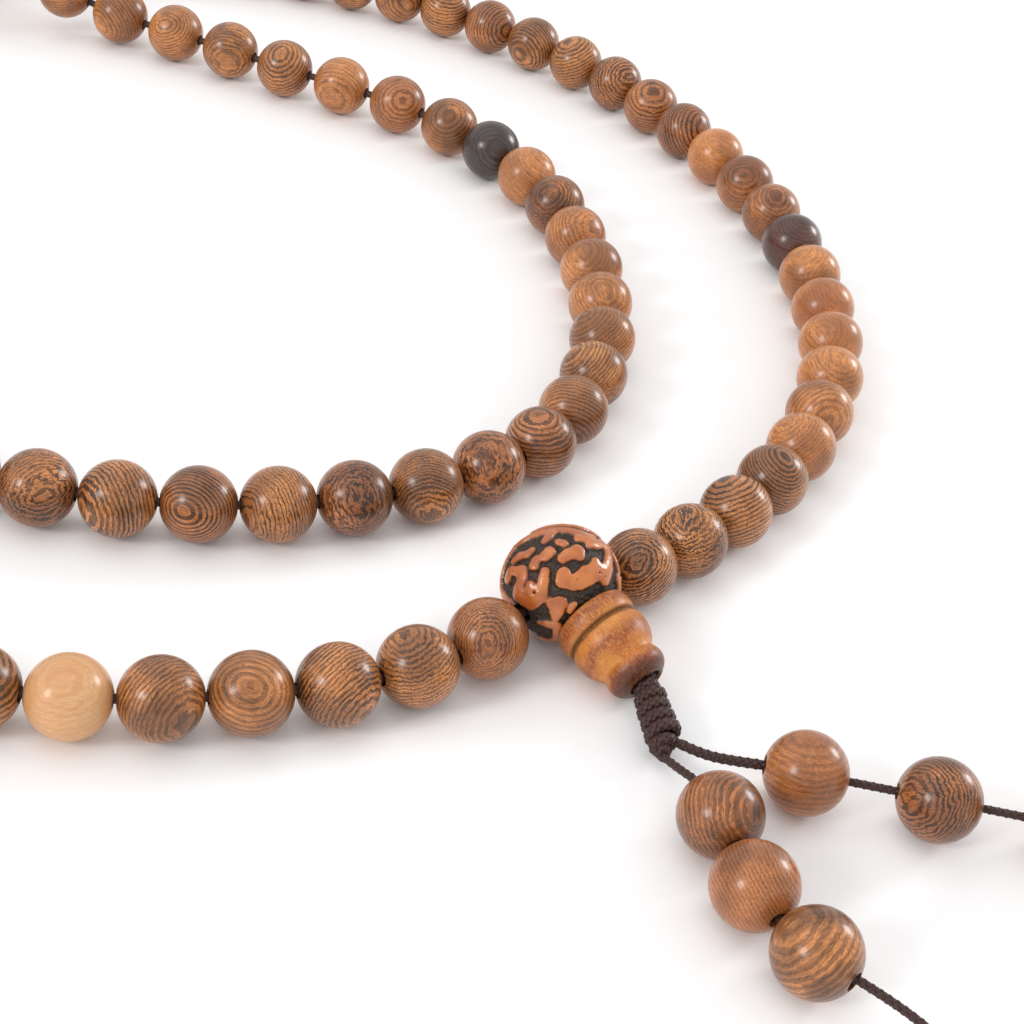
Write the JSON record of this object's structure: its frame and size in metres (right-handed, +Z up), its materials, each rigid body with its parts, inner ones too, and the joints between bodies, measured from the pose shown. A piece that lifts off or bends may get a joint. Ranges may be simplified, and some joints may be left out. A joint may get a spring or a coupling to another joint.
{
  "type": "mala prayer beads",
  "caption": "Mala of round striped-wood beads on one cord laid as a doubled ring, with a carved guru bead, turned tower bead, braided knot and two beaded tails.",
  "frame": {"origin": "on the surface the mala lies on, below the middle of the box of the ring, guru bead, tower bead and knot", "axes": "+Z up; +X towards the side where the guru bead, tower and tails lie; +Y from the tails' near side towards the far side of the ring"},
  "size_m": [0.219, 0.1962, 0.0171],
  "materials": {
    "striped_wood": "polished open-grained wood with dark stripes",
    "dark_wood": "polished near-black wood",
    "pale_wood": "polished pale sapwood",
    "carved_wood": "polished raised islands over rough dark recesses",
    "turned_wood": "turned and polished amber wood",
    "cord": "braided nylon cord"
  },
  "bodies": {
    "strand": {"loop_string": "cord", "guru_bead": "carved_wood", "beads_023_to_052": "striped_wood", "beads_067_to_101": "striped_wood"},
    "bead_001": {"bead_001": "striped_wood"},
    "bead_002": {"bead_002": "striped_wood"},
    "bead_003": {"bead_003": "striped_wood"},
    "bead_004": {"bead_004": "striped_wood"},
    "bead_005": {"bead_005": "striped_wood"},
    "bead_006": {"bead_006": "striped_wood"},
    "bead_007": {"bead_007": "striped_wood"},
    "bead_008": {"bead_008": "striped_wood"},
    "bead_009": {"bead_009": "striped_wood"},
    "bead_010": {"bead_010": "striped_wood"},
    "marker_bead_011": {"marker_bead_011": "dark_wood"},
    "bead_012": {"bead_012": "striped_wood"},
    "bead_013": {"bead_013": "striped_wood"},
    "bead_014": {"bead_014": "striped_wood"},
    "bead_015": {"bead_015": "striped_wood"},
    "bead_016": {"bead_016": "striped_wood"},
    "bead_017": {"bead_017": "striped_wood"},
    "bead_018": {"bead_018": "striped_wood"},
    "bead_019": {"bead_019": "striped_wood"},
    "bead_020": {"bead_020": "striped_wood"},
    "bead_021": {"bead_021": "striped_wood"},
    "bead_022": {"bead_022": "striped_wood"},
    "bead_053": {"bead_053": "striped_wood"},
    "bead_054": {"bead_054": "striped_wood"},
    "bead_055": {"bead_055": "striped_wood"},
    "bead_056": {"bead_056": "striped_wood"},
    "bead_057": {"bead_057": "striped_wood"},
    "bead_058": {"bead_058": "striped_wood"},
    "bead_059": {"bead_059": "striped_wood"},
    "bead_060": {"bead_060": "striped_wood"},
    "bead_061": {"bead_061": "striped_wood"},
    "bead_062": {"bead_062": "striped_wood"},
    "bead_063": {"bead_063": "striped_wood"},
    "bead_064": {"bead_064": "striped_wood"},
    "bead_065": {"bead_065": "striped_wood"},
    "marker_bead_066": {"marker_bead_066": "dark_wood"},
    "bead_102": {"bead_102": "striped_wood"},
    "pale_bead_103": {"pale_bead_103": "pale_wood"},
    "bead_104": {"bead_104": "striped_wood"},
    "bead_105": {"bead_105": "striped_wood"},
    "bead_106": {"bead_106": "striped_wood"},
    "bead_107": {"bead_107": "striped_wood"},
    "bead_108": {"bead_108": "striped_wood"},
    "tower": {"tower_bead": "turned_wood"},
    "knot": {"tassel_knot": "cord"},
    "tail_a": {"tail_cord_a": "cord", "end_knot_a": "cord"},
    "tail_b": {"tail_cord_b": "cord", "end_knot_b": "cord"},
    "tail_bead_a1": {"tail_bead_a1": "striped_wood"},
    "tail_bead_a2": {"tail_bead_a2": "striped_wood"},
    "tail_bead_a3": {"tail_bead_a3": "striped_wood"},
    "tail_bead_b1": {"tail_bead_b1": "striped_wood"},
    "tail_bead_b2": {"tail_bead_b2": "striped_wood"},
    "tail_bead_b3": {"tail_bead_b3": "striped_wood"}
  },
  "joints": [
    {"name": "tower_spin", "type": "hinge", "parent": "strand", "child": "tower", "pos_m": [0.06323, -0.06322, 0.00398], "axis": [0.7036, -0.6796, -0.2079], "continuous": true},
    {"name": "knot_swing", "type": "hinge", "parent": "strand", "child": "knot", "pos_m": [0.06619, -0.06607, 0.00311], "axis": [0, 0, 1], "range_deg": [-6, 12]},
    {"name": "tail_a_swing", "type": "hinge", "parent": "knot", "child": "tail_a", "pos_m": [0.0688, -0.0745, 0.0018], "axis": [0, 0, 1], "range_deg": [-25, 4]},
    {"name": "tail_b_swing", "type": "hinge", "parent": "knot", "child": "tail_b", "pos_m": [0.0702, -0.073, 0.0024], "axis": [0, 0, 1], "range_deg": [-3, 25]},
    {"name": "tail_bead_a1_spin", "type": "hinge", "parent": "tail_a", "child": "tail_bead_a1", "pos_m": [0.07386, -0.08272, 0.00402], "axis": [0.3737, -0.9268, 0.0365], "continuous": true},
    {"name": "tail_bead_a2_spin", "type": "hinge", "parent": "tail_a", "child": "tail_bead_a2", "pos_m": [0.07698, -0.09018, 0.004], "axis": [0.5139, -0.8578, -0.0026], "continuous": true},
    {"name": "tail_bead_a3_spin", "type": "hinge", "parent": "tail_a", "child": "tail_bead_a3", "pos_m": [0.08226, -0.09626, 0.004], "axis": [0.7949, -0.6067, 0], "continuous": true},
    {"name": "tail_bead_b1_slide", "type": "slide", "parent": "tail_b", "child": "tail_bead_b1", "axis": [0.9996, -0.0294, 0], "range_m": [0, 0.004]},
    {"name": "tail_bead_b2_slide", "type": "slide", "parent": "tail_b", "child": "tail_bead_b2", "axis": [0.9996, -0.0294, 0], "range_m": [0, 0.0045]},
    {"name": "tail_bead_b3_slide", "type": "slide", "parent": "tail_b", "child": "tail_bead_b3", "axis": [0.9996, -0.0294, 0], "range_m": [0, 0.0025]},
    {"name": "bead_001_spin", "type": "hinge", "parent": "strand", "child": "bead_001", "pos_m": [0.06465, -0.0504, 0.00425], "axis": [0.7036, 0.7038, -0.0984], "continuous": true},
    {"name": "bead_002_spin", "type": "hinge", "parent": "strand", "child": "bead_002", "pos_m": [0.06986, -0.04427, 0.004], "axis": [0.6201, 0.7846, 0], "continuous": true},
    {"name": "bead_003_spin", "type": "hinge", "parent": "strand", "child": "bead_003", "pos_m": [0.07459, -0.03775, 0.004], "axis": [0.5436, 0.8393, 0], "continuous": true},
    {"name": "bead_004_spin", "type": "hinge", "parent": "strand", "child": "bead_004", "pos_m": [0.07861, -0.03077, 0.004], "axis": [0.4614, 0.8872, 0], "continuous": true},
    {"name": "bead_005_spin", "type": "hinge", "parent": "strand", "child": "bead_005", "pos_m": [0.08196, -0.02344, 0.004], "axis": [0.3521, 0.936, 0], "continuous": true},
    {"name": "bead_006_spin", "type": "hinge", "parent": "strand", "child": "bead_006", "pos_m": [0.08425, -0.01572, 0.004], "axis": [0.2163, 0.9763, 0], "continuous": true},
    {"name": "bead_007_spin", "type": "hinge", "parent": "strand", "child": "bead_007", "pos_m": [0.08571, -0.0078, 0.004], "axis": [0.1137, 0.9935, 0], "continuous": true},
    {"name": "bead_008_spin", "type": "hinge", "parent": "strand", "child": "bead_008", "pos_m": [0.086, 0.00025, 0.004], "axis": [-0.0422, 0.9991, 0], "continuous": true},
    {"name": "bead_009_spin", "type": "hinge", "parent": "strand", "child": "bead_009", "pos_m": [0.08521, 0.00826, 0.004], "axis": [-0.141, 0.99, 0], "continuous": true},
    {"name": "bead_010_spin", "type": "hinge", "parent": "strand", "child": "bead_010", "pos_m": [0.08367, 0.01617, 0.004], "axis": [-0.2415, 0.9704, 0], "continuous": true},
    {"name": "marker_bead_011_spin", "type": "hinge", "parent": "strand", "child": "marker_bead_011", "pos_m": [0.08139, 0.0239, 0.004], "axis": [-0.3011, 0.9536, 0], "continuous": true},
    {"name": "bead_012_spin", "type": "hinge", "parent": "strand", "child": "bead_012", "pos_m": [0.07856, 0.03144, 0.004], "axis": [-0.4073, 0.9133, 0], "continuous": true},
    {"name": "bead_013_spin", "type": "hinge", "parent": "strand", "child": "bead_013", "pos_m": [0.07484, 0.03859, 0.004], "axis": [-0.5144, 0.8576, 0], "continuous": true},
    {"name": "bead_014_spin", "type": "hinge", "parent": "strand", "child": "bead_014", "pos_m": [0.0705, 0.04538, 0.004], "axis": [-0.5681, 0.8229, 0], "continuous": true},
    {"name": "bead_015_spin", "type": "hinge", "parent": "strand", "child": "bead_015", "pos_m": [0.06567, 0.05183, 0.004], "axis": [-0.6312, 0.7756, 0], "continuous": true},
    {"name": "bead_016_spin", "type": "hinge", "parent": "strand", "child": "bead_016", "pos_m": [0.06045, 0.05797, 0.004], "axis": [-0.6582, 0.7528, 0], "continuous": true},
    {"name": "bead_017_spin", "type": "hinge", "parent": "strand", "child": "bead_017", "pos_m": [0.05474, 0.06365, 0.004], "axis": [-0.7575, 0.6529, 0], "continuous": true},
    {"name": "bead_018_spin", "type": "hinge", "parent": "strand", "child": "bead_018", "pos_m": [0.04828, 0.06846, 0.004], "axis": [-0.8417, 0.54, 0], "continuous": true},
    {"name": "bead_019_spin", "type": "hinge", "parent": "strand", "child": "bead_019", "pos_m": [0.04134, 0.07255, 0.004], "axis": [-0.8791, 0.4766, 0], "continuous": true},
    {"name": "bead_020_spin", "type": "hinge", "parent": "strand", "child": "bead_020", "pos_m": [0.0341, 0.07609, 0.004], "axis": [-0.9149, 0.4036, 0], "continuous": true},
    {"name": "bead_021_spin", "type": "hinge", "parent": "strand", "child": "bead_021", "pos_m": [0.02661, 0.07906, 0.004], "axis": [-0.9394, 0.3429, 0], "continuous": true},
    {"name": "bead_022_spin", "type": "hinge", "parent": "strand", "child": "bead_022", "pos_m": [0.01891, 0.08144, 0.004], "axis": [-0.9714, 0.2373, 0], "continuous": true},
    {"name": "bead_053_spin", "type": "hinge", "parent": "strand", "child": "bead_053", "pos_m": [0.02725, -0.05052, 0.004], "axis": [0.9371, 0.349, 0], "continuous": true},
    {"name": "bead_054_spin", "type": "hinge", "parent": "strand", "child": "bead_054", "pos_m": [0.03459, -0.0472, 0.004], "axis": [0.8922, 0.4517, 0], "continuous": true},
    {"name": "bead_055_spin", "type": "hinge", "parent": "strand", "child": "bead_055", "pos_m": [0.04148, -0.04304, 0.004], "axis": [0.8094, 0.5872, 0], "continuous": true},
    {"name": "bead_056_spin", "type": "hinge", "parent": "strand", "child": "bead_056", "pos_m": [0.04757, -0.03778, 0.004], "axis": [0.7042, 0.71, 0], "continuous": true},
    {"name": "bead_057_spin", "type": "hinge", "parent": "strand", "child": "bead_057", "pos_m": [0.05262, -0.03153, 0.004], "axis": [0.5124, 0.8588, 0], "continuous": true},
    {"name": "bead_058_spin", "type": "hinge", "parent": "strand", "child": "bead_058", "pos_m": [0.05569, -0.02411, 0.004], "axis": [0.2446, 0.9696, 0], "continuous": true},
    {"name": "bead_059_spin", "type": "hinge", "parent": "strand", "child": "bead_059", "pos_m": [0.05741, -0.01624, 0.004], "axis": [0.1444, 0.9895, 0], "continuous": true},
    {"name": "bead_060_spin", "type": "hinge", "parent": "strand", "child": "bead_060", "pos_m": [0.05788, -0.0082, 0.004], "axis": [-0.0268, 0.9996, 0], "continuous": true},
    {"name": "bead_061_spin", "type": "hinge", "parent": "strand", "child": "bead_061", "pos_m": [0.05706, -0.00019, 0.004], "axis": [-0.15, 0.9887, 0], "continuous": true},
    {"name": "bead_062_spin", "type": "hinge", "parent": "strand", "child": "bead_062", "pos_m": [0.05534, 0.00768, 0.004], "axis": [-0.2751, 0.9614, 0], "continuous": true},
    {"name": "bead_063_spin", "type": "hinge", "parent": "strand", "child": "bead_063", "pos_m": [0.05263, 0.01527, 0.004], "axis": [-0.3958, 0.9183, 0], "continuous": true},
    {"name": "bead_064_spin", "type": "hinge", "parent": "strand", "child": "bead_064", "pos_m": [0.04924, 0.02258, 0.004], "axis": [-0.4697, 0.8828, 0], "continuous": true},
    {"name": "bead_065_spin", "type": "hinge", "parent": "strand", "child": "bead_065", "pos_m": [0.04476, 0.02925, 0.004], "axis": [-0.6398, 0.7685, 0], "continuous": true},
    {"name": "marker_bead_066_spin", "type": "hinge", "parent": "strand", "child": "marker_bead_066", "pos_m": [0.03912, 0.03501, 0.004], "axis": [-0.7518, 0.6594, 0], "continuous": true},
    {"name": "bead_102_spin", "type": "hinge", "parent": "strand", "child": "bead_102", "pos_m": [0.00712, -0.08348, 0.004], "axis": [0.9999, 0.0155, 0], "continuous": true},
    {"name": "pale_bead_103_spin", "type": "hinge", "parent": "strand", "child": "pale_bead_103", "pos_m": [0.01512, -0.0826, 0.004], "axis": [0.9856, 0.1688, 0], "continuous": true},
    {"name": "bead_104_spin", "type": "hinge", "parent": "strand", "child": "bead_104", "pos_m": [0.02297, -0.0808, 0.004], "axis": [0.9609, 0.2768, 0], "continuous": true},
    {"name": "bead_105_spin", "type": "hinge", "parent": "strand", "child": "bead_105", "pos_m": [0.03058, -0.07814, 0.004], "axis": [0.9249, 0.3802, 0], "continuous": true},
    {"name": "bead_106_spin", "type": "hinge", "parent": "strand", "child": "bead_106", "pos_m": [0.038, -0.07499, 0.004], "axis": [0.8953, 0.4456, 0], "continuous": true},
    {"name": "bead_107_spin", "type": "hinge", "parent": "strand", "child": "bead_107", "pos_m": [0.04478, -0.07067, 0.004], "axis": [0.7826, 0.6226, 0], "continuous": true},
    {"name": "bead_108_spin", "type": "hinge", "parent": "strand", "child": "bead_108", "pos_m": [0.05077, -0.06529, 0.00422], "axis": [0.6706, 0.7356, 0.0962], "continuous": true}
  ]
}
